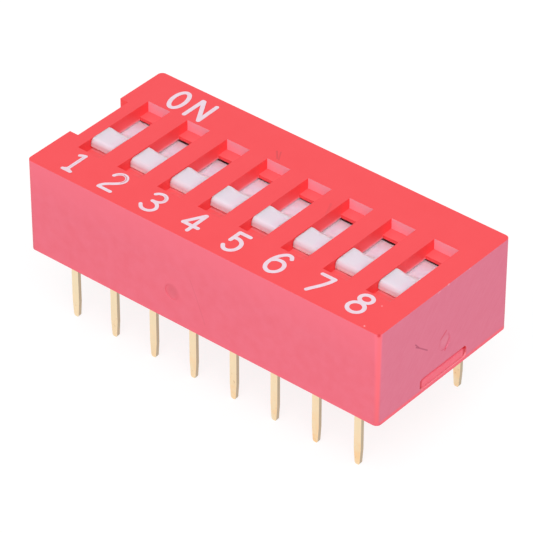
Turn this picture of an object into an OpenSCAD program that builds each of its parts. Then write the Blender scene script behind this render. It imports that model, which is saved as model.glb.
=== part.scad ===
// Slide DIP switch with recessed actuators, for through-hole boards.
//
// A moulded cover holds one cell per position. In each cell a slider runs under
// the roof: its knob stands in a stepped slot, its flat plate closes the cell at
// every position, and its carrier block presses a spring wiper onto two pads.
// The pads are the bent heads of the leads, which stand in a moulded base that
// snaps into the cover from below.
//
// Origin: middle of the seat plane, where the cover's rim meets the board.
// +X runs from position 1 to the last one, +Y towards ON, +Z up. Millimetres.
// The sliders are drawn at OFF.

/* [Layout] */
// Number of switch positions
positions = 8; // [4:1:12]
// Distance between neighbouring positions
pitch = 2.54; // [2.4:0.01:3]
// Distance between the front and rear rows of leads
row_span = 7.62; // [7:0.02:8]
// Distance from the middle of an end position to the end face
end_margin = 1.935; // [1.8:0.005:2.6]

/* [Cover] */
// Width of the cover across the rows
body_w = 9.85; // [9.4:0.05:11]
// Height of the cover above the seat plane
body_h = 5.3; // [5:0.05:7]
// Radius of the cover's upright edges
edge_r = 0.28; // [0.1:0.01:0.5]
// Thickness of the roof over the cells
roof_t = 0.8; // [0.7:0.01:1]
// Step inside the walls that the base seats against
seat_step = 0.3; // [0.15:0.01:0.4]
// Radius of the round tool marks on the front and on the right end
mark_r = 0.42; // [0.2:0.01:0.6]
// Depth of the round tool marks
mark_depth = 0.03; // [0.01:0.005:0.06]

/* [Slots] */
// Front edge of the opening through the roof, from the middle
window_front = -1.5; // [-2:0.01:-1.4]
// Length of the ledge in front of the opening
front_ledge = 1.1; // [0.5:0.01:1.3]
// Length of the ledge behind the opening
rear_ledge = 0.65; // [0.2:0.01:0.9]
// Depth of both ledges below the top
ledge_depth = 0.6; // [0.4:0.01:0.65]

/* [Index notch] */
// Width of the notch that marks the end with position 1
notch_w = 3.66; // [2:0.02:5]
// How far the notch cuts into the end
notch_in = 0.52; // [0.2:0.01:0.7]
// How far the notch reaches down from the top
notch_down = 1.2; // [0.7:0.05:2.5]

/* [Snap windows] */
// Width of the window in each end of the cover
snap_w = 3.54; // [2:0.02:6]
// Height of the window
snap_h = 0.64; // [0.46:0.01:0.9]
// Height of the rim below the window
rim_h = 0.2; // [0.15:0.01:0.4]
// Corner radius of the window
snap_r = 0.2; // [0.05:0.01:0.22]

/* [Base] */
// Thickness of the base
base_t = 1.45; // [1.3:0.05:1.8]
// Height of the base's underside above the seat plane
base_inset = 0.1; // [0.05:0.01:0.2]
// Play between the base and the cover's walls
base_play = 0.025; // [0.01:0.005:0.08]
// Radius of the base's upright corners
base_r = 0.2; // [0.05:0.01:0.4]
// Depth of the coring pockets under the base
pocket_depth = 0.5; // [0.2:0.05:0.8]
// Web between neighbouring pockets
pocket_web = 0.8; // [0.5:0.05:1.2]
// Plastic between a pocket and a row of leads
pocket_land = 1.2; // [0.8:0.05:1.6]
// Corner radius of the pockets
pocket_r = 0.25; // [0.1:0.01:0.4]

/* [Barbs] */
// Play between a barb and its window
barb_play = 0.04; // [0.02:0.005:0.08]
// How far the barb's face lies below the end face
barb_sink = 0.05; // [0.02:0.01:0.2]
// Height of the barb's lead-in slope
barb_slope_h = 0.17; // [0.1:0.01:0.3]
// Depth of the barb's lead-in slope
barb_slope_in = 0.2; // [0.1:0.01:0.35]
// Corner radius of the barb
barb_r = 0.26; // [0.1:0.01:0.27]

/* [Slider] */
// Travel from OFF to ON
travel = 1.37; // [1.3:0.01:1.6]
// Width of the knob
knob_w = 1.38; // [1:0.02:1.5]
// Play between the knob and the slot on each side
knob_play = 0.025; // [0.015:0.005:0.08]
// Play between the plate and the cell on each side
side_play = 0.06; // [0.03:0.005:0.12]
// Play in front of and behind the knob at its stops
stop_play = 0.05; // [0.02:0.01:0.1]
// How far the knob's nose stands out over the front ledge
nose_lap = 0.25; // [0.05:0.01:0.3]
// Play between the nose of a low slider and the ledge
nose_gap = 0.04; // [0.02:0.005:0.1]
// Length from the nose's tip to the middle of the knob's rear rounding
crown_l = 1.29; // [1.1:0.01:1.5]
// How far the knob of a low slider lies below the top
knob_sink = 0.05; // [0.05:0.005:0.2]
// Radius between the knob's top and its slope
crown_r = 0.2; // [0.05:0.01:0.3]
// Slope of the knob's rear, from the plate
slope = 48; // [42:1:70]
// Radius of the hollow between the slope and the plate
foot_r = 0.5; // [0.3:0.01:0.6]
// Thickness of the plate
plate_t = 0.7; // [0.5:0.05:0.9]
// Play between the plate and the roof
plate_gap = 0.1; // [0.05:0.01:0.14]
// How far the plate reaches past the slot on each side
plate_lap_x = 0.2; // [0.1:0.01:0.3]
// How far the plate reaches past the opening's front edge at ON
plate_lap_y = 0.42; // [0.2:0.01:0.6]
// How far the plate reaches past the opening's rear edge at OFF
plate_lap_rear = 0; // [0:0.01:0.4]
// Corner radius of the plate
plate_r = 0.15; // [0.05:0.01:0.3]
// Width of the carrier block under the plate
carrier_w = 1.24; // [0.9:0.02:1.4]
// Length of the carrier block
carrier_l = 2.95; // [2.4:0.05:3.2]

/* [Wiper] */
// From the opening's front edge to the middle of the wiper
wiper_in = 0.625; // [0.5:0.005:0.8]
// Thickness of the spring strip
wiper_t = 0.12; // [0.08:0.01:0.16]
// Width of the spring strip
wiper_w = 0.8; // [0.6:0.02:1]
// Height of the wiper's seat above the pads on a low slider
wiper_h = 1; // [0.75:0.05:1.2]
// Half length of the flat that is staked to the slider
wiper_flat = 0.45; // [0.36:0.01:0.6]
// From the middle to each point of contact
wiper_reach = 1.05; // [0.95:0.005:1.15]
// Length of each turned-up tip
tip_run = 0.355; // [0.2:0.005:0.45]
// Rise of each turned-up tip
tip_rise = 0.235; // [0.1:0.005:0.35]
// Gap between the wiper and the pads
wiper_gap = 0.005; // [0.002:0.001:0.02]
// Radius of the staking peg
peg_r = 0.17; // [0.1:0.01:0.2]
// Radius of the peg's staked head
stake_r = 0.28; // [0.25:0.01:0.33]
// Height of the peg's staked head
stake_h = 0.08; // [0.05:0.01:0.15]

/* [Leads] */
// Thickness of the lead stock
lead_t = 0.2; // [0.15:0.01:0.3]
// Width of the blade
lead_w = 0.42; // [0.34:0.01:0.6]
// Length of the blade below the seat plane
lead_l = 3.85; // [2.5:0.05:5]
// Width of the shoulder and of the pad
shoulder_w = 0.86; // [0.7:0.02:1.2]
// Height of the shoulder's seat above the base's underside
shoulder_up = 0.4; // [0.2:0.05:0.8]
// Inner radius of the bend between shoulder and pad
bend_r = 0.12; // [0.08:0.01:0.25]
// Insulating gap between the two pads of a position
pad_gap = 0.7; // [0.55:0.01:0.85]
// Length of the blade's taper
taper_l = 0.85; // [0.4:0.05:1.5]
// Width of the blade where the taper ends
taper_w = 0.3; // [0.22:0.01:0.32]
// Length of the bevelled end
bevel_l = 0.1; // [0.05:0.01:0.3]
// Width of the blade's very end
tip_w = 0.18; // [0.1:0.01:0.2]
// Clearance of leads and wipers in the holes that hold them
fit = 0.02; // [0.01:0.005:0.04]

/* [Hidden] */
$fn = 48;

// How far cutters run past the faces they open
over = 0.5;
// How far joined shapes reach into each other
bond = 0.1;

// Height of each slider in its play, from 0, low, to 1, against the roof:
// the springs hold some up and let others down
ride = [0.6, 0, 0, 0.6, 0.6, 0, 0, 0.3];
highest_ride = max(ride);
function rise_of(i) = ride[(i - 1) % len(ride)] * plate_gap;
function x_of(i) = (i - (positions + 1) / 2) * pitch;

// Cover and cells
body_l = (positions - 1) * pitch + 2 * end_margin;
slot_w = knob_w + 2 * knob_play;
plate_w = slot_w + 2 * plate_lap_x;
cell_w = plate_w + 2 * side_play;
roof_z = body_h - roof_t;

// Slider: heights are those of a low one, and the profile runs in Y and Z
plate_z = roof_z - plate_gap;
knob_h = body_h - knob_sink - plate_z;
neck_y = window_front + stop_play;
nose_r = (ledge_depth - knob_sink - nose_gap) / 2;
nose_y = neck_y - nose_lap + nose_r;
crown_y = neck_y - nose_lap + crown_l;
slope_top = [crown_y + crown_r * sin(slope), knob_h - crown_r + crown_r * cos(slope)];
slope_end_h = foot_r * (1 - cos(slope));
slope_end = [slope_top[0] + (slope_top[1] - slope_end_h) / tan(slope), slope_end_h];
foot_y = slope_end[0] + foot_r * sin(slope);
// Where the highest slider's foot passes the roof's underside
step_h = plate_gap * (1 - highest_ride);
foot_at_roof = foot_y - sqrt(foot_r * foot_r - (foot_r - step_h) * (foot_r - step_h));

window_rear = foot_at_roof + travel + stop_play;
plate_front = window_front - travel - plate_lap_y;
plate_rear = window_rear + plate_lap_rear;

// Rows, cells and the recess for the base
row_y = row_span / 2;
cell_play = 0.11;
cell_half = max(-plate_front, plate_rear + travel, row_y + lead_t / 2) + cell_play;
recess_x = body_l / 2 - end_margin + cell_w / 2 + seat_step;
recess_y = cell_half + seat_step;
base_top = base_inset + base_t;
base_x = recess_x - base_play;
base_y = recess_y - base_play;
shoulder_z = base_inset + shoulder_up;

// Wiper and pads
pad_top = base_top + lead_t;
carrier_z = pad_top + wiper_h;
wiper_y = window_front + wiper_in;
gap_y = wiper_y + wiper_reach;
front_pad_reach = gap_y - pad_gap / 2;
rear_pad_reach = gap_y + pad_gap / 2;

cover_red = [0.93, 0.24, 0.29];
base_red = [0.9, 0.27, 0.34];
actuator_white = [0.93, 0.9, 0.92];
gold = [0.86, 0.74, 0.55];

// Rectangle centred on the origin, w along X and h along Y, with round corners
module round_rect(w, h, r) {
    square([w - 2 * r, h], center = true);
    square([w, h - 2 * r], center = true);
    for (sx = [-1, 1], sy = [-1, 1])
        translate([sx * (w / 2 - r), sy * (h / 2 - r)]) circle(r);
}

// Upright block from z0 to z1, centred on the Z axis
module round_block(w, h, r, z0, z1) {
    translate([0, 0, z0]) linear_extrude(z1 - z0) round_rect(w, h, r);
}

// Box between two corners
module span(low, high) {
    translate(low) cube(high - low);
}

// Turns a shape drawn in Y and Z, extruded along X and centred on x = 0
module along_x(w) {
    translate([-w / 2, 0, 0]) rotate([90, 0, 90]) linear_extrude(w) children();
}

// ---- Cover ----

// One position: the cell, the opening through its roof, and the two ledges
module slot_cut() {
    span([-cell_w / 2, -cell_half, base_top - bond], [cell_w / 2, cell_half, roof_z]);
    span([-slot_w / 2, window_front, roof_z - bond], [slot_w / 2, window_rear, body_h + over]);
    span([-slot_w / 2, window_front - front_ledge, body_h - ledge_depth],
         [slot_w / 2, window_rear + rear_ledge, body_h + over]);
}

// Window in the end wall on the +X side, with the rim left closed below it
module snap_window() {
    translate([recess_x - bond, 0, rim_h + snap_h / 2])
        rotate([90, 0, 90])
            linear_extrude(body_l / 2 - recess_x + over) round_rect(snap_w, snap_h, snap_r);
}

module tool_marks() {
    front_mark = [-1.64, 1.75];
    end_mark = [0.05, 2];
    translate([front_mark[0], mark_depth - body_w / 2, front_mark[1]])
        rotate([90, 0, 0]) cylinder(h = over, r = mark_r);
    translate([body_l / 2 - mark_depth, end_mark[0], end_mark[1]])
        rotate([0, 90, 0]) cylinder(h = over, r = mark_r);
}

module cover() {
    color(cover_red)
    difference() {
        round_block(body_l, body_w, edge_r, 0, body_h);
        span([-recess_x, -recess_y, -over], [recess_x, recess_y, base_top]);
        for (i = [1 : positions]) translate([x_of(i), 0, 0]) slot_cut();
        span([-body_l / 2 - over, -notch_w / 2, body_h - notch_down],
             [-body_l / 2 + notch_in, notch_w / 2, body_h + over]);
        snap_window();
        mirror([1, 0, 0]) snap_window();
        tool_marks();
    }
}

// ---- Base ----

// Slot for one lead in the row on the +Y side: a narrow hole for the blade, a
// wide one above it that stops at the shoulder's seat, and room for the bend
module lead_slot() {
    blade_x = lead_w / 2 + fit;
    shoulder_x = shoulder_w / 2 + fit;
    inner = row_y - lead_t / 2 - fit;
    outer = row_y + lead_t / 2 + fit;
    span([-blade_x, inner, base_inset - over], [blade_x, outer, shoulder_z + bond]);
    span([-shoulder_x, inner, shoulder_z], [shoulder_x, outer, base_top + over]);
    span([-shoulder_x, inner - bend_r, base_top - bend_r], [shoulder_x, outer, base_top + over]);
}

// Pockets that keep the base's walls even, one between the rows per position
module coring() {
    pocket_y = 2 * (row_y - lead_t / 2 - pocket_land);
    for (i = [1 : positions])
        translate([x_of(i), 0, 0])
            round_block(pitch - pocket_web, pocket_y, pocket_r,
                        base_inset - over, base_inset + pocket_depth);
}

// Shallow round marks of the ejector pins, beside the pockets
module ejector_marks() {
    mark_x = (positions / 2 - 1) * pitch;
    mark_y = row_y - lead_t / 2 - pocket_land / 2;
    for (sx = [-1, 1], sy = [-1, 1])
        translate([sx * mark_x, sy * mark_y, base_inset - over])
            cylinder(h = over + mark_depth, r = 0.3);
}

// Snap barb on the +X end: its slope opens the cover's wall on the way in
module barb() {
    out = body_l / 2 - barb_sink;
    root = base_x - bond;
    low = rim_h + barb_play;
    high = rim_h + snap_h - barb_play;
    w = snap_w - 2 * barb_play;
    intersection() {
        translate([0, w / 2, 0]) rotate([90, 0, 0]) linear_extrude(w)
            polygon([[root, low], [out, low], [out, high - barb_slope_h],
                     [out - barb_slope_in, high], [root, high]]);
        translate([0, 0, (low + high) / 2]) rotate([90, 0, 90]) linear_extrude(body_l)
            round_rect(w, high - low, barb_r);
    }
}

module base() {
    color(base_red)
    difference() {
        union() {
            round_block(2 * base_x, 2 * base_y, base_r, base_inset, base_top);
            barb();
            mirror([1, 0, 0]) barb();
        }
        for (i = [1 : positions]) translate([x_of(i), 0, 0]) {
            lead_slot();
            mirror([0, 1, 0]) lead_slot();
        }
        coring();
        ejector_marks();
    }
}

// ---- Sliders ----

// Side view of the knob in Y and height above the plate: a round nose that
// stands out from the neck, a flat top, a straight slope and a hollow foot that
// runs out into the plate
module knob_profile() {
    difference() {
        union() {
            polygon([[neck_y, -bond], [neck_y, knob_h - nose_r],
                     [nose_y, knob_h], [crown_y, knob_h],
                     slope_top, slope_end, [foot_y, 0], [foot_y, -bond]]);
            translate([nose_y, knob_h - nose_r]) circle(nose_r);
            translate([crown_y, knob_h - crown_r]) circle(crown_r);
        }
        translate([foot_y, foot_r]) circle(foot_r);
    }
}

module slider(i) {
    rise = rise_of(i);
    top = plate_z + rise;
    color(actuator_white)
    translate([x_of(i), 0, 0]) {
        translate([0, 0, top]) along_x(knob_w) knob_profile();
        translate([0, (plate_front + plate_rear) / 2, 0])
            round_block(plate_w, plate_rear - plate_front, plate_r, top - plate_t, top);
        span([-carrier_w / 2, wiper_y - carrier_l / 2, carrier_z + rise],
             [carrier_w / 2, wiper_y + carrier_l / 2, top - plate_t + bond]);
        translate([0, wiper_y, carrier_z + rise - wiper_t - stake_h]) {
            cylinder(h = stake_h, r = stake_r);
            cylinder(h = stake_h + wiper_t + bond, r = peg_r);
        }
    }
}

// ---- Contacts ----

// One straight stretch of the strip between two points in Y and Z
module strip(a, b) {
    run = b - a;
    translate(a) rotate(atan2(run[1], run[0]))
        translate([0, -wiper_t / 2]) square([norm(run), wiper_t]);
}

// The spring in side view: two arms that drop from the staked flat to the pads
// and turn up at their tips, with a round bend at each corner
module wiper_profile(rise) {
    flat_z = carrier_z + rise - wiper_t / 2;
    touch_z = pad_top + wiper_gap + wiper_t / 2;
    points = [[-wiper_reach - tip_run, touch_z + tip_rise], [-wiper_reach, touch_z],
              [-wiper_flat, flat_z], [wiper_flat, flat_z],
              [wiper_reach, touch_z], [wiper_reach + tip_run, touch_z + tip_rise]];
    for (k = [1 : len(points) - 1]) strip(points[k - 1], points[k]);
    for (k = [1 : len(points) - 2]) translate(points[k]) circle(wiper_t / 2);
}

module contact(i) {
    rise = rise_of(i);
    color(gold)
    translate([x_of(i), wiper_y, 0])
        difference() {
            along_x(wiper_w) wiper_profile(rise);
            translate([0, 0, carrier_z + rise - wiper_t - over])
                cylinder(h = wiper_t + 2 * over, r = peg_r + fit);
        }
}

// ---- Leads ----

// A stamped lead of the row on the +Y side, with its pad reaching in to pad_end
module lead(pad_end) {
    bend_y = row_y - lead_t / 2 - bend_r;
    bend_z = base_top - bend_r;
    taper_z = -lead_l + bevel_l;
    // Blade and shoulder, drawn as a front view
    translate([0, row_y + lead_t / 2, 0]) rotate([90, 0, 0]) linear_extrude(lead_t)
        polygon([[-tip_w / 2, -lead_l], [tip_w / 2, -lead_l],
                 [taper_w / 2, taper_z], [lead_w / 2, taper_z + taper_l],
                 [lead_w / 2, shoulder_z], [shoulder_w / 2, shoulder_z],
                 [shoulder_w / 2, bend_z], [-shoulder_w / 2, bend_z],
                 [-shoulder_w / 2, shoulder_z], [-lead_w / 2, shoulder_z],
                 [-lead_w / 2, taper_z + taper_l], [-taper_w / 2, taper_z]]);
    // Quarter bend onto the base's top
    translate([-shoulder_w / 2, bend_y, bend_z]) rotate([0, 90, 0]) rotate([0, 0, 90])
        rotate_extrude(angle = 90) translate([bend_r, 0]) square([lead_t, shoulder_w]);
    span([-shoulder_w / 2, pad_end, base_top], [shoulder_w / 2, bend_y, pad_top]);
}

module front_lead(i) {
    color(gold) translate([x_of(i), 0, 0]) mirror([0, 1, 0]) lead(-front_pad_reach);
}

module rear_lead(i) {
    color(gold) translate([x_of(i), 0, 0]) lead(rear_pad_reach);
}

// ---- The assembly ----

cover();
base();
for (i = [1 : positions]) {
    slider(i);
    contact(i);
    front_lead(i);
    rear_lead(i);
}
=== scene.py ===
"""Looks of an eight-position slide DIP switch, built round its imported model. Metres, same frame."""

import math
import bmesh
import bpy
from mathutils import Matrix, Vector
from mathutils.geometry import delaunay_2d_cdt


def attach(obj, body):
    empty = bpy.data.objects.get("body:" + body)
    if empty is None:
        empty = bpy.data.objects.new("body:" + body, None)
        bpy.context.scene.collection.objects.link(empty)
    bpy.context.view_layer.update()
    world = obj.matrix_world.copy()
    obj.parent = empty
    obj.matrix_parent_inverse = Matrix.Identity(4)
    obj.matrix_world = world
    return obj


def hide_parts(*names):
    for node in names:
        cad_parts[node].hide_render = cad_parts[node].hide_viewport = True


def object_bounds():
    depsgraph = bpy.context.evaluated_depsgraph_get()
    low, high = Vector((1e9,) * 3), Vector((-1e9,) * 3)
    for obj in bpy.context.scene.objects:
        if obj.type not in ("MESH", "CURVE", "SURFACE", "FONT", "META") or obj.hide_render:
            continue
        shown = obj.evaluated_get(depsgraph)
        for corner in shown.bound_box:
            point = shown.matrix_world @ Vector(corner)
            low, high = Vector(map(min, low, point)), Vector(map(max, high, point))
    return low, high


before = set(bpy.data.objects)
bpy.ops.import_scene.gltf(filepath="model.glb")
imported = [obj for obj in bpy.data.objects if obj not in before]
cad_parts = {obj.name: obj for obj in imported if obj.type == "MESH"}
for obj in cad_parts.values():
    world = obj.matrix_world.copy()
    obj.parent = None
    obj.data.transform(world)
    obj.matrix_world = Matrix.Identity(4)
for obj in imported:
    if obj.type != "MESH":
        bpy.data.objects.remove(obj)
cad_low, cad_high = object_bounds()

MM = 0.001
positions = sum(name.startswith("slider_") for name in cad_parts)

# ---------------------------------------------------------------------------
# Cover. A box moulded in red plastic, open below, with one stepped slot per
# position. Its outer sides and the slots' rear panels carry the fine matt grain
# of the eroded tool, and the cored faces and worn edges are smoother and deeper.
# Much of its colour is painted light: a pale pink sheen on the outer sides and
# rear panels, painted shade on the end and in the slots, paler red lifting the
# shade in gaps, a painted highlight on the upright corners, and painted bounce
# light from the white sliders and the floor.
# ---------------------------------------------------------------------------

RED_TOP = (0.970, 0.088, 0.102, 1)
RED_TOP_DEEP = (0.955, 0.078, 0.090, 1)
RED_LEDGE_LIFT = (0.975, 0.128, 0.142, 1)
RED_LEDGE_FRONT_SHADE = (0.920, 0.138, 0.150, 1)
RED_NOSE_BOUNCE = (1.0, 0.30, 0.33, 1)
RED_WALL_HIGH_BOUNCE = (1.0, 0.066, 0.072, 1)
RED_WALL_LOW_BOUNCE = (1.0, 0.102, 0.112, 1)
RED_WINDOW_SHADE = (0.93, 0.072, 0.078, 1)
RED_PLATE_BOUNCE = (1.0, 0.44, 0.50, 1)
RED_FRONT_SHEEN = (0.900, 0.169, 0.234, 1)
RED_FRONT_SHEEN_DEEP = (0.885, 0.150, 0.210, 1)
RED_FRONT_TOP_LIGHT = (0.955, 0.170, 0.235, 1)
RED_END_SHADE_SHEEN = (0.815, 0.205, 0.305, 1)
RED_END_SHADE_SHEEN_DEEP = (0.795, 0.180, 0.275, 1)
RED_PANEL_SHEEN = (0.935, 0.370, 0.455, 1)
RED_CORNER_HIGHLIGHT = (1.0, 0.160, 0.200, 1)
RED_RIM_BOUNCE = (1.0, 0.150, 0.205, 1)
RED_SCRATCH = (0.44, 0.060, 0.130, 1)
RED_STROKE = (0.78, 0.080, 0.145, 1)
RED_DOT = (0.70, 0.020, 0.030, 1)
RED_PALE = (0.90, 0.33, 0.42, 1)
RED_SHADE_LIFT = (1.0, 0.30, 0.36, 1)
RED_STAIN_AND_SHADE = (0.50, 0.070, 0.085, 1)
RED_NICK = (1.0, 0.50, 0.55, 1)
EDGE_BREAK = 0.035 * MM
CORNER_RADIUS = 0.28 * MM
SLOT_REAR = 2.541 * MM
WINDOW_REAR = 1.891 * MM
LEDGE_Z = 4.7 * MM
MERGE = 0.001 * MM
FLAT_WITHIN, BREAK_FROM = math.radians(0.5), math.radians(40)
RED_ROUGH = (0.42, 0.60)
PLATE_GLOW_POWER = 1.6
STREAK_STRETCH, STREAK_TILT, STREAK_SHARE = (1, 1, 10), (-0.73, 0, 0), 0.6

# The part's own limits. TOP_Z is the top of the sliders that stand highest, 0.01 mm
# over the cover's top face.
END_X, SIDE_Y, TOP_Z = cad_high

# Bands: a mask runs from 0 at the first value of a coordinate or a distance to 1 at the
# second. CLOUD_BAND holds most of a noise's values.
CLOUD_BAND = (0.3, 0.7)
FACE_BAND = (0.012 * MM, 0.006 * MM)
END_BAND = (END_X - 0.045 * MM, END_X - 0.040 * MM)
SIDE_BAND = (SIDE_Y - 0.045 * MM, SIDE_Y - 0.040 * MM)
CORNER_BAND = (END_X + SIDE_Y - 1.15 * CORNER_RADIUS, END_X + SIDE_Y - 1.10 * CORNER_RADIUS)
WALL_BAND = (TOP_Z - 0.25 * MM, TOP_Z - 0.70 * MM)
PLATE_GLOW_BAND = (LEDGE_Z - 0.02 * MM, LEDGE_Z - 0.20 * MM)
NOSE_GAP_BAND = (-1.76 * MM, -1.64 * MM)
LEDGE_BAND = (-1.2 * MM, -1.1 * MM)
FRONT_HIGH_BAND = (3.2 * MM, TOP_Z)
RIM_BAND = (0.25 * MM, 0.15 * MM)
BARB_BAND = (END_X - 0.50 * MM, END_X - 0.45 * MM)
BARB_GAP_BAND = (0.60 * MM, 0.50 * MM)

# Marks of tools and handling, and painted shade in the tool marks, in mm, on the right end, the front and
# the top of the cover.
END, FRONT, TOP = 10.825, -4.925, 5.3
TOOL_MARK_FRONT = (-1.64, FRONT, 1.75)
TOOL_MARK_END = (END, 0.05, 2.0)
TOOL_MARK_SIZE = 0.50
# Each line has its start, end, width and strength, each spot its centre, radius, softness and strength.
STAIN_LINES = [
    ((-0.485, FRONT, 3.02), (-0.066, FRONT, 2.05), 0.05, 0.12),
    ((-0.066, FRONT, 2.05), (0.414, FRONT, 0.80), 0.05, 0.12),
    ((2.72, 1.59, TOP), (3.04, 0.91, TOP), 0.10, 0.16),
    ((3.04, 0.91, TOP), (3.45, 0.10, TOP), 0.10, 0.16),
    ((-2.02, 3.30, TOP), (-1.62, 2.84, TOP), 0.07, 0.45),
    ((-1.82, 3.36, TOP), (-1.50, 2.80, TOP), 0.06, 0.35),
]
# The spot is painted shade in the hollow of the front tool mark.
FRONT_MARK_SHADE_SPOTS = [((-1.64, FRONT, 1.76), 0.52, 0.7, 0.24)]
# Dark strokes round the rim of the end's tool mark are painted shade in its hollow; the two spots after them
# are small dark dots inside it.
END_MARK_SHADE_LINES = [
    ((END, 0.136, 2.62), (END, -0.256, 2.335), 0.07, 0.9),
    ((END, -0.256, 2.335), (END, -0.34, 1.95), 0.06, 0.5),
    ((END, 0.392, 2.018), (END, 0.082, 1.515), 0.07, 0.9),
    ((END, 0.33, 2.40), (END, 0.392, 2.018), 0.05, 0.4),
]
STROKE_SPOTS = [((END, 0.02, 2.12), 0.05, 0.6), ((END, 0.10, 2.26), 0.04, 0.6)]
# A paler spot in the middle of the end's tool mark.
END_MARK_PALE_SPOT = ((END, 0.07, 2.08), 0.34, 0.5, 0.25)
CORNER_DOT = ((10.78, -4.88, 5.24), 0.15, 0.7)
SCRATCH_LINES = [
    ((END, -2.198, 3.176), (END, -1.902, 2.823), 0.05, 0.8),
    ((END, -2.155, 3.004), (END, -1.902, 2.823), 0.05, 0.8),
    ((END, -1.902, 2.823), (END, -1.283, 2.323), 0.05, 0.7),
]
NICK_LINES = [
    ((END, -0.60, 5.22), (END, -0.45, 5.24), 0.04, 0.5),
    ((END, 0.16, 5.26), (END, 0.22, 5.27), 0.05, 0.8),
    ((END, 1.76, 5.25), (END, 1.84, 5.26), 0.04, 0.5),
]
NICK_SPOTS = [((9.83, -4.756, TOP), 0.06, 0.6, 0.8), ((9.51, -3.083, TOP), 0.05, 0.6, 0.7)]


class Finish:
    """A node material with the short hands that its recipes need."""

    def __init__(self, name):
        self.material = bpy.data.materials.new(name)
        self.material.use_nodes = True
        self.nodes = self.material.node_tree.nodes
        self.links = self.material.node_tree.links
        self.shader = self.nodes["Principled BSDF"]
        self.shader.inputs["Specular IOR Level"].default_value = 0.3
        coords = self.nodes.new("ShaderNodeTexCoord")
        self.place, self.normal = coords.outputs["Object"], coords.outputs["Normal"]

    def plug(self, node, socket, value):
        """Sets a socket, or links it when the value is another node's output."""
        target = node.inputs[socket]
        if isinstance(value, bpy.types.NodeSocket):
            self.links.new(value, target)
        else:
            target.default_value = value

    def math(self, operation, a, b=0.0, clamp=False):
        """Result of a math node."""
        node = self.nodes.new("ShaderNodeMath")
        node.operation, node.use_clamp = operation, clamp
        self.plug(node, 0, a)
        self.plug(node, 1, b)
        return node.outputs["Value"]

    def both(self, a, b):
        """Product of two masks, or of a mask and a share."""
        return self.math("MULTIPLY", a, b)

    def vector(self, operation, a, b=(0, 0, 0), out="Vector"):
        """Result of a vector math node."""
        node = self.nodes.new("ShaderNodeVectorMath")
        node.operation = operation
        self.plug(node, 0, a)
        self.plug(node, 1, b)
        return node.outputs[out]

    def split(self, value):
        """The three coordinates of a vector."""
        node = self.nodes.new("ShaderNodeSeparateXYZ")
        self.links.new(value, node.inputs[0])
        return node.outputs

    def noise(self, size, detail=2.0, rough=0.5, stretch=(1, 1, 1), tilt=(0, 0, 0)):
        """Cloudy pattern, 0 to 1, whose features are about size across."""
        grid = self.nodes.new("ShaderNodeMapping")
        grid.vector_type = "TEXTURE"
        self.links.new(self.place, grid.inputs["Vector"])
        grid.inputs["Rotation"].default_value = tilt
        grid.inputs["Scale"].default_value = [size * s for s in stretch]
        node = self.nodes.new("ShaderNodeTexNoise")
        self.links.new(grid.outputs["Vector"], node.inputs["Vector"])
        node.inputs["Scale"].default_value = 1.0
        node.inputs["Detail"].default_value = detail
        node.inputs["Roughness"].default_value = rough
        return node.outputs["Fac"]

    def ramp(self, value, low, high, to_low=0.0, to_high=1.0):
        """Runs straight from to_low to to_high as the value goes from low to high."""
        node = self.nodes.new("ShaderNodeMapRange")
        self.plug(node, "Value", value)
        node.inputs["From Min"].default_value = low
        node.inputs["From Max"].default_value = high
        node.inputs["To Min"].default_value = to_low
        node.inputs["To Max"].default_value = to_high
        return node.outputs["Result"]

    def at_level(self, value, level):
        """1 on the faces that lie at this level of a coordinate."""
        return self.ramp(self.math("ABSOLUTE", self.math("SUBTRACT", value, level)), *FACE_BAND)

    def blend(self, share, first, second):
        """Colour that goes from first to second as the share goes from 0 to 1."""
        node = self.nodes.new("ShaderNodeMix")
        node.data_type = "RGBA"
        self.plug(node, 0, share)
        self.plug(node, 6, first)
        self.plug(node, 7, second)
        return node.outputs[2]

    def line(self, start, end, width, strength=1.0):
        """1 on a straight line between two points in mm, fading to 0 at width on each side."""
        start, end = Vector(start) * MM, Vector(end) * MM
        run = end - start
        away = self.vector("SUBTRACT", self.place, start)
        share = self.math("DIVIDE", self.vector("DOT_PRODUCT", away, run, "Value"), run.length_squared, True)
        scale = self.nodes.new("ShaderNodeVectorMath")
        scale.operation = "SCALE"
        scale.inputs[0].default_value = run
        self.links.new(share, scale.inputs["Scale"])
        gap = self.vector("DISTANCE", away, scale.outputs["Vector"], "Value")
        return self.ramp(gap, 0.2 * width * MM, width * MM, strength, 0.0)

    def spot(self, centre, radius, soft, strength=1.0):
        """1 in a round spot, given in mm, fading to 0 over its soft share."""
        gap = self.vector("DISTANCE", self.place, Vector(centre) * MM, "Value")
        return self.ramp(gap, (1 - soft) * radius * MM, radius * MM, strength, 0.0)

    def any_of(self, masks):
        """The strongest of several masks."""
        total = masks[0]
        for mask in masks[1:]:
            total = self.math("MAXIMUM", total, mask)
        return total

    def marks(self, lines, spots=()):
        """Mask of several lines and spots."""
        return self.any_of([self.line(*row) for row in lines] + [self.spot(*row) for row in spots])

    def relief(self, height, depth):
        """Fine bumps of the moulded skin, this deep."""
        node = self.nodes.new("ShaderNodeBump")
        node.inputs["Distance"].default_value = depth
        self.links.new(height, node.inputs["Height"])
        self.links.new(node.outputs["Normal"], self.shader.inputs["Normal"])

    def wear(self, obj):
        """Puts this finish on an object in place of what it has."""
        obj.data.materials.clear()
        obj.data.materials.append(self.material)


def break_edges(obj, width):
    """Gives an object's sharp edges the small rounding that a mould leaves."""
    soft = obj.modifiers.new("break", "BEVEL")
    soft.width, soft.segments = width, 2
    soft.limit_method, soft.angle_limit = "ANGLE", BREAK_FROM
    soft.harden_normals = True


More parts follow.
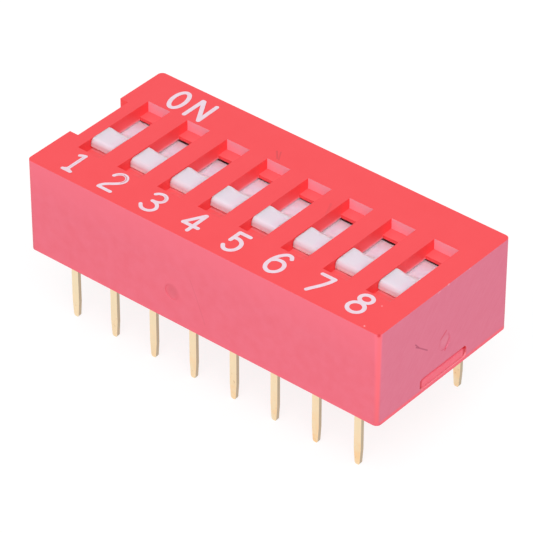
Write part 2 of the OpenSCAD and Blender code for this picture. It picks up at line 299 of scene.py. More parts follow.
def ease_edges(obj, width):
    """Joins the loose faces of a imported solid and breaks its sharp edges."""
    weld = obj.modifiers.new("join", "WELD")
    weld.merge_threshold = MERGE
    flats = obj.modifiers.new("flats", "DECIMATE")
    flats.decimate_type = "DISSOLVE"
    flats.angle_limit = FLAT_WITHIN
    break_edges(obj, width)


def moulded_red(name):
    """A finish for both red mouldings, and the deep red of their smooth faces."""
    red = Finish(name)
    red.relief(red.noise(0.05 * MM, detail=3), 0.003 * MM)
    return red, red.blend(red.noise(1.2 * MM), RED_TOP_DEEP, RED_TOP)


skin, colour = moulded_red("cover_plastic")
x, y, z = skin.split(skin.place)
turned = skin.split(skin.vector("ABSOLUTE", skin.normal))  # near 1 on a face square to x, y or z
far_x, far_y = skin.math("ABSOLUTE", x), skin.math("ABSOLUTE", y)

# Faces inside the slots, coloured with much painted light and shade.
upright = skin.ramp(turned[2], 0.5, 0.3)
below_top = skin.ramp(z, *WALL_BAND)
# Painted bounce light: the slot walls are a deeper red high up, for the red light of the walls round them,
# and a paler red low down, for the light of the white sliders.
colour = skin.blend(upright, colour, RED_WALL_HIGH_BOUNCE)
colour = skin.blend(skin.both(upright, below_top), colour, RED_WALL_LOW_BOUNCE)
# Painted bounce light: a pink band at the foot of the slot walls, beside the white plate.
plate_bounce = skin.math("POWER", skin.ramp(z, *PLATE_GLOW_BAND), PLATE_GLOW_POWER)
plate_bounce = skin.both(plate_bounce, skin.ramp(turned[0], 0.7, 0.9))
colour = skin.blend(plate_bounce, colour, RED_PLATE_BOUNCE)
# Painted shade: the window's rear wall, under the rear ledge, is a darker red.
colour = skin.blend(skin.both(upright, skin.at_level(y, WINDOW_REAR)), colour, RED_WINDOW_SHADE)
# Painted light and shade on the ledges: paler than the top, to make up for the red light the slot walls
# throw on them, darker in front of the knob, painted shade, and pink just under the nose, painted bounce
# light from the white nose.
ledge_painted = skin.blend(skin.ramp(y, *NOSE_GAP_BAND), RED_LEDGE_FRONT_SHADE, RED_NOSE_BOUNCE)
ledge_painted = skin.blend(skin.ramp(y, *LEDGE_BAND), ledge_painted, RED_LEDGE_LIFT)
colour = skin.blend(skin.at_level(z, LEDGE_Z), colour, ledge_painted)
# Painted sheen: the slots' rear panels are a pale pink; their matt grain is in the roughness.
panel = skin.both(skin.at_level(y, SLOT_REAR), upright)
colour = skin.blend(panel, colour, RED_PANEL_SHEEN)

# Matt outer sides, with their rounded upright corners and the bottom rim. Their colours
# are painted light: a pale pink sheen over patches and grain, lighter towards the top
# of the front, painted shade on the end, a painted highlight on the upright corners
# and painted bounce light from the floor on the rim.
at_end = skin.ramp(far_x, *END_BAND)
at_side = skin.ramp(far_y, *SIDE_BAND)
at_corner = skin.ramp(skin.math("ADD", far_x, far_y), *CORNER_BAND)
matt = skin.both(skin.any_of([at_end, at_side, at_corner]), skin.ramp(turned[2], 0.6, 0.3))
front_mark = skin.spot(TOOL_MARK_FRONT, TOOL_MARK_SIZE, 0.1)
end_mark = skin.spot(TOOL_MARK_END, TOOL_MARK_SIZE, 0.1)
matt = skin.any_of([matt, front_mark, end_mark])
patches = skin.ramp(skin.noise(0.6 * MM), *CLOUD_BAND)
# Painted sheen on the front, which is painted lighter towards its top.
front_red = skin.blend(patches, RED_FRONT_SHEEN_DEEP, RED_FRONT_SHEEN)
front_red = skin.blend(skin.ramp(z, *FRONT_HIGH_BAND), front_red, RED_FRONT_TOP_LIGHT)
streaks = skin.ramp(skin.noise(0.08 * MM, stretch=STREAK_STRETCH, tilt=STREAK_TILT), *CLOUD_BAND)
streaks = skin.math("ADD", skin.both(streaks, STREAK_SHARE), skin.both(patches, 1 - STREAK_SHARE))
# Painted sheen and painted shade on the end, over its streaky grain.
end_red = skin.blend(streaks, RED_END_SHADE_SHEEN_DEEP, RED_END_SHADE_SHEEN)
facing_end = skin.any_of([skin.ramp(turned[0], 0.55, 0.95), end_mark])
facing_end = skin.math("SUBTRACT", facing_end, front_mark, True)
side_red = skin.blend(facing_end, front_red, end_red)
# Painted highlight down the rounded upright corners.
bend = skin.both(skin.ramp(turned[0], 0.15, 0.6), skin.ramp(turned[1], 0.15, 0.6))
side_red = skin.blend(skin.both(bend, at_corner), side_red, RED_CORNER_HIGHLIGHT)
# Painted bounce light from the floor on the bottom rim, strongest on the ends.
rim = skin.ramp(z, *RIM_BAND)
rim = skin.both(rim, skin.ramp(turned[0], 0.1, 0.6, 0.25, 1.0))
side_red = skin.blend(rim, side_red, RED_RIM_BOUNCE)
# Painted light: the gaps over the snap barbs and the underside of the roof take a pale red that lifts their
# shade.
in_gap = skin.both(skin.ramp(far_x, *BARB_BAND), skin.ramp(z, *BARB_GAP_BAND))
colour = skin.blend(in_gap, colour, RED_SHADE_LIFT)
roof_under = skin.ramp(skin.split(skin.normal)[2], -0.3, -0.6)
colour = skin.blend(roof_under, colour, RED_SHADE_LIFT)
colour = skin.blend(matt, colour, side_red)

# Small stains, a scratch and nicks from handling, a paler spot and a dark dot. The darker
# spot in the front tool mark and the dark strokes round the end's tool mark are painted shade.
colour = skin.blend(skin.marks(STAIN_LINES, FRONT_MARK_SHADE_SPOTS), colour, RED_STAIN_AND_SHADE)
colour = skin.blend(skin.spot(*END_MARK_PALE_SPOT), colour, RED_PALE)
colour = skin.blend(skin.marks(END_MARK_SHADE_LINES, STROKE_SPOTS), colour, RED_STROKE)
colour = skin.blend(skin.spot(*CORNER_DOT), colour, RED_DOT)
colour = skin.blend(skin.marks(SCRATCH_LINES), colour, RED_SCRATCH)
colour = skin.blend(skin.marks(NICK_LINES, NICK_SPOTS), colour, RED_NICK)
skin.plug(skin.shader, "Base Color", colour)
skin.plug(skin.shader, "Roughness", skin.ramp(skin.any_of([matt, panel]), 0, 1, *RED_ROUGH))
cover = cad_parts["cover"]
skin.wear(cover)
ease_edges(cover, EDGE_BREAK)

# ---------------------------------------------------------------------------
# Base. A moulded plate of the same red that closes the cover from below. It is
# cored between the rows and its snap barbs show in the windows of both ends.
# The barbs' pinker red is a painted sheen, and their darker top and side edges
# are painted shade from the gaps round them.
# ---------------------------------------------------------------------------

RED_BARB_SHEEN = (0.96, 0.125, 0.185, 1)
RED_BARB_SHEEN_PALE = (1.0, 0.180, 0.255, 1)
RED_BARB_SHADE = (0.72, 0.030, 0.060, 1)
BARB_TOP = 0.80 * MM
BARB_HALF = 1.73 * MM
BARB_SIDE_BAND = (BARB_HALF - 0.22 * MM, BARB_HALF - 0.10 * MM)
BARB_TOP_BAND = (BARB_TOP - 0.05 * MM, BARB_TOP - 0.02 * MM)
BASE_BREAK = 0.02 * MM
BASE_ROUGH = (0.42, 0.55)
foot, colour = moulded_red("base_plastic")
x, y, z = foot.split(foot.place)
on_barb = foot.ramp(foot.math("ABSOLUTE", x), *BARB_BAND)
# Painted sheen on the barbs, and painted shade along their top and side edges.
barb_red = foot.blend(foot.noise(0.3 * MM, stretch=(1, 3, 1)), RED_BARB_SHEEN, RED_BARB_SHEEN_PALE)
barb_shade = foot.any_of([foot.ramp(foot.math("ABSOLUTE", y), *BARB_SIDE_BAND), foot.ramp(z, *BARB_TOP_BAND)])
barb_red = foot.blend(barb_shade, barb_red, RED_BARB_SHADE)
foot.plug(foot.shader, "Base Color", foot.blend(on_barb, colour, barb_red))
foot.plug(foot.shader, "Roughness", foot.ramp(foot.noise(0.3 * MM), *CLOUD_BAND, *BASE_ROUGH))
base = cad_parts["base"]
foot.wear(base)
ease_edges(base, BASE_BREAK)

# ---------------------------------------------------------------------------
# Sliders. White moulded actuators with a satin face and softly broken edges, each
# a knob on a flat plate that runs under the cover's roof. The plastic lets a little
# light through. The pink tint from the red walls round it is painted into its
# colours, with more painted light and shade on the knob and the plate.
# ---------------------------------------------------------------------------

SLIDER_WHITE = (0.81, 0.715, 0.795, 1)
SLIDER_SHADE = (0.79, 0.685, 0.765, 1)
SLIDER_RIGHT_BOUNCE = (0.84, 0.640, 0.755, 1)
SLIDER_NOSE_SHADE = (0.765, 0.630, 0.700, 1)
SLIDER_LOW_LIFT = (1.0, 0.900, 0.940, 1)
SLIDER_REAR_LIFT = (0.92, 0.850, 0.980, 1)
PLATE_PALE = (0.82, 0.770, 0.900, 1)
PLATE_PINK = (0.79, 0.700, 0.840, 1)
PLATE_REAR_SHADE = (0.76, 0.570, 0.650, 1)
PLATE_FOOT_LIFT = (0.88, 0.800, 0.920, 1)
PLATE_SIDE_LIFT = (0.98, 0.860, 0.920, 1)
PITCH = 2.54
SLIDER_ROUGH = (0.4, 0.5)

# Bands on a slider at OFF; those across it are shares of the pitch from its middle.
RIGHT_BAND = (0.08, 0.22)
REAR_BAND, REAR_ACROSS_BAND = (-0.62 * MM, -0.46 * MM), (-0.16, -0.06)
LOW_BAND, LOW_FRONT_BAND = (5.03 * MM, 4.90 * MM), (-1.25 * MM, -1.35 * MM)
NOSE_UNDER_BAND, NOSE_OVER_BAND = (5.29 * MM, 5.19 * MM), (4.90 * MM, 5.03 * MM)
NOSE_FRONT_BAND = (-1.40 * MM, -1.50 * MM)
PLATE_REAR_BAND, PLATE_FOOT_BAND = (1.15 * MM, 1.75 * MM), (0.85 * MM, 0.50 * MM)
PLATE_SIDE_BAND = (0.70 / PITCH, 0.74 / PITCH)
PLATE_FROM_BAND, PLATE_UNDER_BAND = (-0.42 * MM, -0.25 * MM), (5.15 * MM, 5.0 * MM)

# The knob's form, in mm. Behind the horn and the saddle its height falls from a place
# along the slot, at a rate, with a rounded start: these are the three values of each.
KNOB_HEIGHT = 0.85
HORN_ACROSS = (-0.55, -0.15)
HORN = (-0.35, 1.15, 0.08)
SADDLE = (-0.50, 0.81, 0.20)
FOOT_ROUND = 0.10
REAR_FROM = -0.80
NOSE_FROM, NOSE_RUN = -1.46, 0.08
NOSE_OUT = 0.09
NOSE_TOP, NOSE_FADE = 0.58, 0.22
CUT_ACROSS, CUTS_ACROSS = 0.06, range(-11, 12)
CUT_ALONG, CUTS_ALONG = 0.05, range(-16, 13)
CUT_CLOSE = 0.0001 * MM
ON_PLATE = 0.004
KNOB_FLAT_WITHIN, SHARP_FROM = math.radians(1), math.radians(30)
SLIDER_BREAK = 0.02 * MM

white = Finish("actuator_plastic")
x, y, z = white.split(white.place)
across = white.math("SUBTRACT", white.math("FRACT", white.math("DIVIDE", x, PITCH * MM)), 0.5)
knob = white.blend(white.noise(0.8 * MM), SLIDER_SHADE, SLIDER_WHITE)
# Painted bounce light: the knob's right side is pinker, from the red wall beside it.
knob = white.blend(white.ramp(across, *RIGHT_BAND), knob, SLIDER_RIGHT_BOUNCE)
# Painted light: the rear of the knob, right of the horn, is paler so it runs softly into the plate.
rear = white.both(white.ramp(y, *REAR_BAND), white.ramp(across, *REAR_ACROSS_BAND))
knob = white.blend(rear, knob, SLIDER_REAR_LIFT)
# Painted light: the low front of the nose is paler, lifting its shade.
low_nose = white.both(white.ramp(z, *LOW_BAND), white.ramp(y, *LOW_FRONT_BAND))
knob = white.blend(low_nose, knob, SLIDER_LOW_LIFT)
# Painted shade: a darker pink band down the front of the nose.
brow = white.both(white.ramp(z, *NOSE_UNDER_BAND), white.ramp(z, *NOSE_OVER_BAND))
brow = white.both(brow, white.ramp(y, *NOSE_FRONT_BAND))
knob = white.blend(brow, knob, SLIDER_NOSE_SHADE)
# The plate is mottled at random; its lilac pink is painted bounce light from the red walls.
plate = white.blend(white.ramp(white.noise(0.22 * MM, detail=3), 0.35, 0.65), PLATE_PINK, PLATE_PALE)
# Painted shade on the plate towards the rear wall.
plate = white.blend(white.ramp(y, *PLATE_REAR_BAND), plate, PLATE_REAR_SHADE)
# Painted light: the plate is paler at the knob's foot and on its sides under the roof, lifting their shade.
plate = white.blend(white.ramp(y, *PLATE_FOOT_BAND), plate, PLATE_FOOT_LIFT)
covered = white.ramp(white.math("ABSOLUTE", across), *PLATE_SIDE_BAND)
plate = white.blend(covered, plate, PLATE_SIDE_LIFT)
on_plate = white.both(white.ramp(y, *PLATE_FROM_BAND), white.ramp(z, *PLATE_UNDER_BAND))
white.plug(white.shader, "Base Color", white.blend(on_plate, knob, plate))
white.plug(white.shader, "Roughness", white.ramp(white.noise(0.2 * MM), *CLOUD_BAND, *SLIDER_ROUGH))
white.relief(white.noise(0.12 * MM, detail=2), 0.002 * MM)
white.shader.inputs["Subsurface Weight"].default_value = 0.85
white.shader.inputs["Subsurface Radius"].default_value = (1.0, 0.85, 0.85)
white.shader.inputs["Subsurface Scale"].default_value = 0.5 * MM


def middle_of(number):
    """Where the middle of a position lies along the switch, in mm."""
    return (number - (positions + 1) / 2) * PITCH


def smooth_step(value, low, high):
    """0 below low, 1 above high, and a smooth rise between them."""
    t = min(max((value - low) / (high - low), 0.0), 1.0)
    return t * t * (3 - 2 * t)


def soft_min(a, b, reach):
    """The lower of two heights, rounded off where they are closer than reach."""
    h = max(reach - abs(a - b), 0.0) / reach
    return min(a, b) - h * h * reach / 4


def knob_rear(y, start, fall, reach):
    """Height over the plate of a knob whose rear slopes down from start, with rounded corners."""
    slope = soft_min(KNOB_HEIGHT, KNOB_HEIGHT - fall * (y - start), reach)
    return -soft_min(-slope, 0.0, FOOT_ROUND)


def knob_point(across, y, height):
    """Where a point of the plain knob lies on the real one: along the slot and over the plate, in mm."""
    if y > REAR_FROM:
        right = smooth_step(across, *HORN_ACROSS)
        horn = knob_rear(y, *HORN)
        saddle = knob_rear(y, *SADDLE)
        height = horn + right * (saddle - horn)
    elif y < NOSE_FROM:
        low = smooth_step(NOSE_TOP - height, 0.0, NOSE_FADE)
        y -= (NOSE_OUT * low) * smooth_step(NOSE_FROM - y, 0.0, NOSE_RUN)
    return y, height


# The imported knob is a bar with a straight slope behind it. The real one has a shallow
# saddle in its rear, on the right of a horn, and a nose that is fuller near the ledge.
# The knob is cut into a fine grid, and its points are moved there.
for number in range(1, positions + 1):
    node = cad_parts[f"slider_{number}"]
    middle = middle_of(number)
    bm = bmesh.new()
    bm.from_mesh(node.data)
    bmesh.ops.remove_doubles(bm, verts=bm.verts, dist=MERGE)
    bmesh.ops.dissolve_limit(bm, angle_limit=KNOB_FLAT_WITHIN, verts=bm.verts, edges=bm.edges)
    plate_top = max(v.co.z for v in bm.verts) / MM - KNOB_HEIGHT
    cuts = [(0, (middle + k * CUT_ACROSS) * MM) for k in CUTS_ACROSS]
    cuts += [(1, k * CUT_ALONG * MM) for k in CUTS_ALONG]
    for axis, place in cuts:
        above = [f for f in bm.faces if max(v.co.z for v in f.verts) > (plate_top + ON_PLATE) * MM]
        geom = list({g for f in above for g in (f, *f.edges, *f.verts)})
        spot, normal = [0, 0, 0], [0, 0, 0]
        spot[axis], normal[axis] = place, 1
        bmesh.ops.bisect_plane(bm, geom=geom, dist=CUT_CLOSE, plane_co=spot, plane_no=normal)
    for v in bm.verts:
        height = v.co.z / MM - plate_top
        if height > ON_PLATE:
            y, height = knob_point(v.co.x / MM - middle, v.co.y / MM, height)
            v.co.y, v.co.z = y * MM, (plate_top + height) * MM
    for face in bm.faces:
        face.smooth = True
    mesh = bpy.data.meshes.new(f"actuator_{number}")
    bm.to_mesh(mesh)
    bm.free()
    mesh.set_sharp_from_angle(angle=SHARP_FROM)
    slider = bpy.data.objects.new(f"actuator_{number}", mesh)
    bpy.context.scene.collection.objects.link(slider)
    white.wear(slider)
    break_edges(slider, SLIDER_BREAK)
    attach(slider, f"switch_{number}")
    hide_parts(f"slider_{number}")

# ---------------------------------------------------------------------------
# Leads and wipers. Stamped and bent from gold-plated copper alloy strip, so the
# broad faces are gold and the sheared edges are duller and darker. The leads sit
# in the base, and a wiper is staked under each slider.
# ---------------------------------------------------------------------------

GOLD = (0.92, 0.79, 0.56, 1)
GOLD_DULL = (0.90, 0.74, 0.49, 1)
GOLD_WARM = (0.95, 0.64, 0.34, 1)
SHEARED = (0.52, 0.42, 0.29, 1)
TARNISH = (0.45, 0.24, 0.12, 1)
GOLD_ROUGH = (0.3, 0.42)
WARM_BAND = (-8.0 * MM, 6.0 * MM)
TIP_BAND = (-1.8 * MM, -3.8 * MM)
SPECKS_BAND = (-1.6 * MM, -3.0 * MM)
gold = Finish("gold_plating")
x, y, z = gold.split(gold.place)
plated = gold.blend(gold.noise(0.5 * MM), GOLD_DULL, GOLD)
warm = gold.both(gold.ramp(x, *WARM_BAND, 0.3, 1.0), gold.ramp(gold.noise(0.5 * MM), 0.25, 0.6))
near_tip = gold.ramp(z, *TIP_BAND, 0.25, 1.0)
plated = gold.blend(gold.both(warm, near_tip), plated, GOLD_WARM)
sheared = gold.ramp(gold.math("ABSOLUTE", gold.split(gold.normal)[0]), 0.6, 0.8)
metal = gold.blend(sheared, plated, SHEARED)
specks = gold.ramp(gold.noise(0.14 * MM, detail=3, stretch=(1, 1, 1.6)), 0.64, 0.74, 0.0, 0.5)
specks = gold.both(specks, gold.ramp(z, *SPECKS_BAND))
gold.plug(gold.shader, "Base Color", gold.blend(specks, metal, TARNISH))
drawn = gold.noise(0.1 * MM, stretch=(1, 1, 6))
gold.plug(gold.shader, "Roughness", gold.ramp(drawn, *CLOUD_BAND, *GOLD_ROUGH))
gold.shader.inputs["Metallic"].default_value = 1.0
for name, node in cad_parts.items():
    if name.startswith(("lead_", "contact_")):
        gold.wear(node)

# ---------------------------------------------------------------------------
# Printed marks. ON behind the first slots and a figure in front of each slot,
# pad-printed in thin pale ink on the cover's top. The ink is a raised film, a
# little worn, and each figure sits as the print left it.
# ---------------------------------------------------------------------------

# The film runs from INK_ROOT below TOP_Z to INK_RISE over it, so its underside is at
# VOID_Z (in mm), 0.008 mm over the cover's top face.
INK_RISE = 0.008 * MM
INK_ROOT = 0.002 * MM
VOID_Z = 5.308
INK_ROUGH = (0.5, 0.65)
PEN_SIDES = 16
SAME_POINT = 1e-6
INK_PALE = (0.86, 0.71, 0.80, 1)
INK_THIN = (0.88, 0.60, 0.68, 1)
INK_BARE = (0.70, 0.16, 0.20, 1)
STRAIGHT, CURVED = 0, 1
FIGURE_PEN = 0.21
THIN_PEN = 0.19
THIN_FIGURES = 3
ON_PEN = 0.23
FIGURE_Y = -3.6

# Pen strokes of each figure, in mm from the middle of its place.
FIGURES = {
    "1": [(CURVED, [(-0.153, 0.524), (-0.035, 0.594), (0.124, 0.641)]),
          (STRAIGHT, [(0.118, 0.629), (0.118, -0.735)]), (STRAIGHT, [(-0.106, -0.771), (0.388, -0.771)]),
          (STRAIGHT, [(0.118, -0.641), (-0.035, -0.747)]), (STRAIGHT, [(0.118, -0.641), (0.282, -0.747)])],
    "2": [(CURVED, [(-0.329, 0.341), (-0.241, 0.518), (-0.094, 0.641), (0.082, 0.676), (0.271, 0.606),
                    (0.394, 0.441), (0.424, 0.265), (0.353, 0.076), (0.171, -0.129), (-0.065, -0.324),
                    (-0.241, -0.5), (-0.329, -0.676), (-0.341, -0.771)]),
          (STRAIGHT, [(-0.341, -0.771), (0.406, -0.771)])],
    "3": [(CURVED, [(-0.329, 0.465), (-0.212, 0.594), (-0.006, 0.659), (0.188, 0.618), (0.335, 0.476),
                    (0.376, 0.288), (0.294, 0.112), (0.112, 0.006), (-0.106, -0.029)]),
          (CURVED, [(-0.106, -0.029), (0.094, -0.053), (0.288, -0.159), (0.418, -0.335), (0.435, -0.5),
                    (0.347, -0.676), (0.171, -0.782), (-0.035, -0.8), (-0.224, -0.729), (-0.388, -0.559)])],
    "4": [(STRAIGHT, [(0.159, 0.653), (0.159, -0.759)]), (STRAIGHT, [(0.118, 0.653), (-0.435, -0.347)]),
          (STRAIGHT, [(-0.435, -0.365), (0.465, -0.353)])],
    "5": [(STRAIGHT, [(0.288, 0.676), (-0.341, 0.676), (-0.341, -0.041)]),
          (CURVED, [(-0.329, 0.194), (-0.124, 0.241), (0.082, 0.194), (0.259, 0.059), (0.353, -0.147),
                    (0.359, -0.365), (0.282, -0.571), (0.129, -0.712), (-0.047, -0.765), (-0.224, -0.712),
                    (-0.376, -0.535)])],
    "6": [(CURVED, [(0.318, 0.594), (0.2, 0.735), (0.024, 0.771), (-0.141, 0.676), (-0.282, 0.476),
                    (-0.388, 0.224), (-0.435, -0.071), (-0.418, -0.365), (-0.3, -0.618), (-0.106, -0.753),
                    (0.082, -0.765), (0.271, -0.653), (0.394, -0.453), (0.418, -0.218), (0.347, 0.006),
                    (0.171, 0.165), (-0.047, 0.194), (-0.241, 0.147), (-0.388, 0.006)])],
    "7": [(STRAIGHT, [(-0.435, 0.665), (0.306, 0.665)]),
          (CURVED, [(0.306, 0.665), (0.247, 0.4), (0.141, 0.106), (0.012, -0.171), (-0.141, -0.441),
                    (-0.282, -0.724)])],
}


def oval(centre, across, along, lean=0.0, steps=36):
    """Closed loop of points; lean moves its lower part to the right."""
    points = []
    for step in range(steps + 1):
        turn = 2 * math.pi * step / steps
        rise = along * math.sin(turn)
        points.append((centre[0] + across * math.cos(turn) - lean * rise, centre[1] + rise))
    return points


def smooth_path(points, cuts=5):
    """Catmull-Rom curve through the points."""
    path = [Vector(p) for p in points]
    path = [2 * path[0] - path[1]] + path + [2 * path[-1] - path[-2]]
    curve = []
    for a, b, c, d in zip(path, path[1:], path[2:], path[3:]):
        for cut in range(cuts):
            t = cut / cuts
            curve.append(0.5 * (2 * b + (c - a) * t + (2 * a - 5 * b + 4 * c - d) * t ** 2
                                + (3 * b - a - 3 * c + d) * t ** 3))
    return curve + [path[-2]]


def print_mark(name, strokes, place, pen):
    """Makes one printed mark: its pen strokes, joined into one film of ink."""
    outline, faces = [], []

    def add_face(points):
        faces.append(list(range(len(outline), len(outline) + len(points))))
        outline.extend(Vector((place[0] + p[0], place[1] + p[1])) for p in points)

    half = pen / 2
    for kind, points in strokes:
        path = smooth_path(points) if kind == CURVED else [Vector(p) for p in points]
        for a, b in zip(path, path[1:]):
            side = Vector((a[1] - b[1], b[0] - a[0])).normalized() * half
            add_face([a - side, b - side, b + side, a + side])
        for p in path:
            turns = [math.tau * k / PEN_SIDES for k in range(PEN_SIDES)]
            add_face([(p[0] + half * math.cos(turn), p[1] + half * math.sin(turn)) for turn in turns])
    points, _, triangles, _, _, sources = delaunay_2d_cdt(outline, [], faces, 0, SAME_POINT, True)
    bm = bmesh.new()
    verts = [bm.verts.new((p.x * MM, p.y * MM, TOP_Z - INK_ROOT)) for p in points]
    film = [bm.faces.new([verts[k] for k in tri]) for tri, own in zip(triangles, sources) if own]
    bmesh.ops.delete(bm, geom=[v for v in bm.verts if not v.link_faces], context="VERTS")
    bmesh.ops.recalc_face_normals(bm, faces=film)
    raised = bmesh.ops.extrude_face_region(bm, geom=film)["geom"]
    for v in raised:
        if isinstance(v, bmesh.types.BMVert):
            v.co.z += INK_ROOT + INK_RISE
    bmesh.ops.recalc_face_normals(bm, faces=bm.faces)
    mesh = bpy.data.meshes.new(name)
    bm.to_mesh(mesh)
    bm.free()
    mark = bpy.data.objects.new(name, mesh)
    bpy.context.scene.collection.objects.link(mark)
    ink.wear(mark)
    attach(mark, "housing")


ink = Finish("printed_ink")
ink_wear = ink.ramp(ink.noise(0.35 * MM, detail=4, rough=0.6), 0.42, 0.75)
ink_tone = ink.blend(ink_wear, INK_PALE, INK_THIN)

# The first three figures took too little ink, so the middle of some strokes shows red.
# Each row has the figure, the width and strength of the gap, and its path.
VOIDS = [
    (2, 0.045, 0.90, [(0.02, 0.66), (0.24, 0.60), (0.37, 0.44), (0.40, 0.26), (0.32, 0.06)]),
    (2, 0.040, 0.55, [(-0.27, 0.44), (-0.20, 0.54), (-0.08, 0.63), (0.02, 0.66)]),
    (3, 0.040, 0.45, [(0.08, 0.64), (0.19, 0.60), (0.31, 0.47), (0.35, 0.30), (0.27, 0.12)]),
    (1, 0.035, 0.40, [(0.118, 0.50), (0.118, -0.60)]),
]
bare = []
for number, width, strength, path in VOIDS:
    path = [(middle_of(number) + px, FIGURE_Y + py, VOID_Z) for px, py in path]
    bare += [(a, b, width, strength) for a, b in zip(path, path[1:])]
ink.plug(ink.shader, "Base Color", ink.blend(ink.marks(bare), ink_tone, INK_BARE))
ink.plug(ink.shader, "Roughness", ink.ramp(ink_wear, 0, 1, *INK_ROUGH))
FIGURES["8"] = [(STRAIGHT, oval((-0.224, 0.453), 0.341, 0.294)),
                (STRAIGHT, oval((-0.235, -0.324), 0.412, 0.388))]
for number in range(1, positions + 1):
    pen = FIGURE_PEN if number > THIN_FIGURES else THIN_PEN
    print_mark(f"mark_{number}", FIGURES[str(number)], (middle_of(number), FIGURE_Y), pen)
LETTER_O = [(STRAIGHT, oval((-8.483, 3.56), 0.373, 0.723, 0.09))]
LETTER_N = [(STRAIGHT, [(-7.51, 2.80), (-7.51, 4.24)]),
            (STRAIGHT, [(-7.45, 4.233), (-6.617, 2.817)]),
            (STRAIGHT, [(-6.617, 2.817), (-6.657, 4.267)])]
print_mark("mark_O", LETTER_O, (0, 0), ON_PEN)
print_mark("mark_N", LETTER_N, (0, 0), ON_PEN)

# ---------------------------------------------------------------------------
# Floor, world and lamps: a plain white table in soft daylight. The background's
# white is only what the camera and reflections see, not light on the switch.
# ---------------------------------------------------------------------------

FLOOR_SIDE = 3.0
FLOOR_WHITE = (0.8, 0.8, 0.8, 1)
FLOOR_SEEN = (0.20, 0.20, 0.20, 1)
FLOOR_GLOW = 0.84
SKY_SEEN = 0.60
CEILING_LEVEL = 0.35
CEILING_FROM, CEILING_TO = 0.2, 0.6
PURE_WHITE = (1, 1, 1, 1)
KEY_SPOT = (0.190, -0.260, 0.430)
KEY_SIDE = 0.45
KEY_WATTS = 1.84
bpy.ops.mesh.primitive_plane_add(size=FLOOR_SIDE, location=(0, 0, cad_low.z))
floor = bpy.context.object
floor.name = "floor"


def seen_directly(nodes, links):
    """1 for camera, glossy and transmission rays, which see the white background."""
    path = nodes.new("ShaderNodeLightPath")
    total = path.outputs["Is Camera Ray"]
    for kind in ("Is Glossy Ray", "Is Transmission Ray"):
        add = nodes.new("ShaderNodeMath")
        add.operation, add.use_clamp = "ADD", True
        links.new(total, add.inputs[0])
        links.new(path.outputs[kind], add.inputs[1])
        total = add.outputs[0]
    return total


paper = bpy.data.materials.new("floor_paper")
paper.use_nodes = True
nodes, links = paper.node_tree.nodes, paper.node_tree.links
nodes.clear()
out = nodes.new("ShaderNodeOutputMaterial")
sheet = nodes.new("ShaderNodeBsdfDiffuse")
sheet.inputs["Color"].default_value = FLOOR_WHITE
matt = nodes.new("ShaderNodeBsdfDiffuse")
matt.inputs["Color"].default_value = FLOOR_SEEN
glow = nodes.new("ShaderNodeEmission")
glow.inputs["Color"].default_value = PURE_WHITE
glow.inputs["Strength"].default_value = FLOOR_GLOW
both = nodes.new("ShaderNodeAddShader")
links.new(matt.outputs[0], both.inputs[0])
links.new(glow.outputs[0], both.inputs[1])
pick = nodes.new("ShaderNodeMixShader")
links.new(seen_directly(nodes, links), pick.inputs[0])
links.new(sheet.outputs[0], pick.inputs[1])
links.new(both.outputs[0], pick.inputs[2])
links.new(pick.outputs[0], out.inputs["Surface"])
floor.data.materials.append(paper)

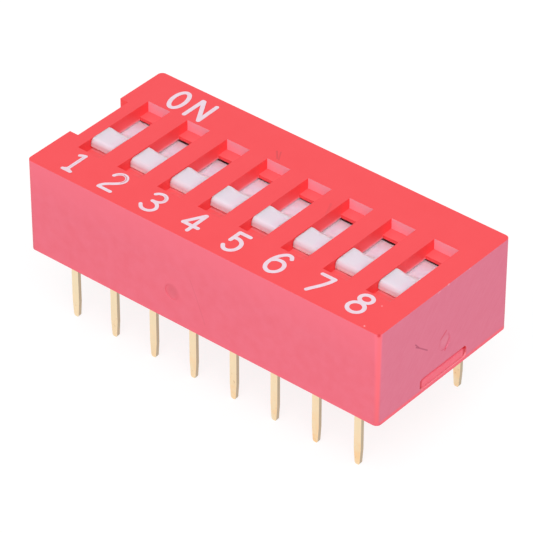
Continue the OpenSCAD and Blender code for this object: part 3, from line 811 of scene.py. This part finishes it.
world = bpy.data.worlds.new("studio")
bpy.context.scene.world = world
world.use_nodes = True
nodes, links = world.node_tree.nodes, world.node_tree.links
nodes.clear()
out = nodes.new("ShaderNodeOutputWorld")
sky = nodes.new("ShaderNodeBackground")
sky.inputs["Color"].default_value = PURE_WHITE
heading = nodes.new("ShaderNodeSeparateXYZ")
links.new(nodes.new("ShaderNodeTexCoord").outputs["Generated"], heading.inputs[0])
walls = nodes.new("ShaderNodeMapRange")
links.new(heading.outputs["Z"], walls.inputs["Value"])
walls.inputs["From Min"].default_value = CEILING_FROM
walls.inputs["From Max"].default_value = CEILING_TO
walls.inputs["To Min"].default_value = 1.0
walls.inputs["To Max"].default_value = CEILING_LEVEL
level = nodes.new("ShaderNodeMix")
links.new(seen_directly(nodes, links), level.inputs[0])
level.inputs[2].default_value = SKY_SEEN
links.new(walls.outputs["Result"], level.inputs[3])
links.new(level.outputs[0], sky.inputs["Strength"])
links.new(sky.outputs[0], out.inputs["Surface"])


def softbox(name, spot, aim, side, power):
    """A square lamp at a place, turned towards another, with its side in metres."""
    lamp = bpy.data.lights.new(name, "AREA")
    lamp.shape, lamp.size, lamp.energy = "SQUARE", side, power
    obj = bpy.data.objects.new(name, lamp)
    bpy.context.scene.collection.objects.link(obj)
    obj.location = spot
    obj.rotation_mode = "QUATERNION"
    obj.rotation_quaternion = (Vector(aim) - Vector(spot)).to_track_quat("-Z", "Y")


softbox("key_lamp", KEY_SPOT, (0, 0, 0), KEY_SIDE, KEY_WATTS)

# ---------------------------------------------------------------------------
# Camera: a long lens that looks down on the slots from the right end's side. It
# aims a little above the middle of the seat plane.
# ---------------------------------------------------------------------------

AZIMUTH = math.radians(39.911)
ELEVATION = math.radians(36.757)
DISTANCE = 178.13 * MM
AIM_RIGHT = 0.062 * MM
AIM_UP = 0.979 * MM
LENS_MM = 249.56
SENSOR_MM = 36.0
CLIP_NEAR, CLIP_FAR = 0.01, 10.0

back = Vector((math.sin(AZIMUTH) * math.cos(ELEVATION),
               -math.cos(AZIMUTH) * math.cos(ELEVATION),
               math.sin(ELEVATION)))
right = Vector((math.cos(AZIMUTH), math.sin(AZIMUTH), 0))
up = back.cross(right)
lens = bpy.data.cameras.new("camera")
lens.lens, lens.sensor_width = LENS_MM, SENSOR_MM
lens.clip_start, lens.clip_end = CLIP_NEAR, CLIP_FAR
camera = bpy.data.objects.new("camera", lens)
bpy.context.scene.collection.objects.link(camera)
camera.location = right * AIM_RIGHT + up * AIM_UP + back * DISTANCE
camera.rotation_mode = "QUATERNION"
camera.rotation_quaternion = (-back).to_track_quat("-Z", "Y")
bpy.context.scene.camera = camera
bpy.context.scene.view_settings.view_transform = "Standard"
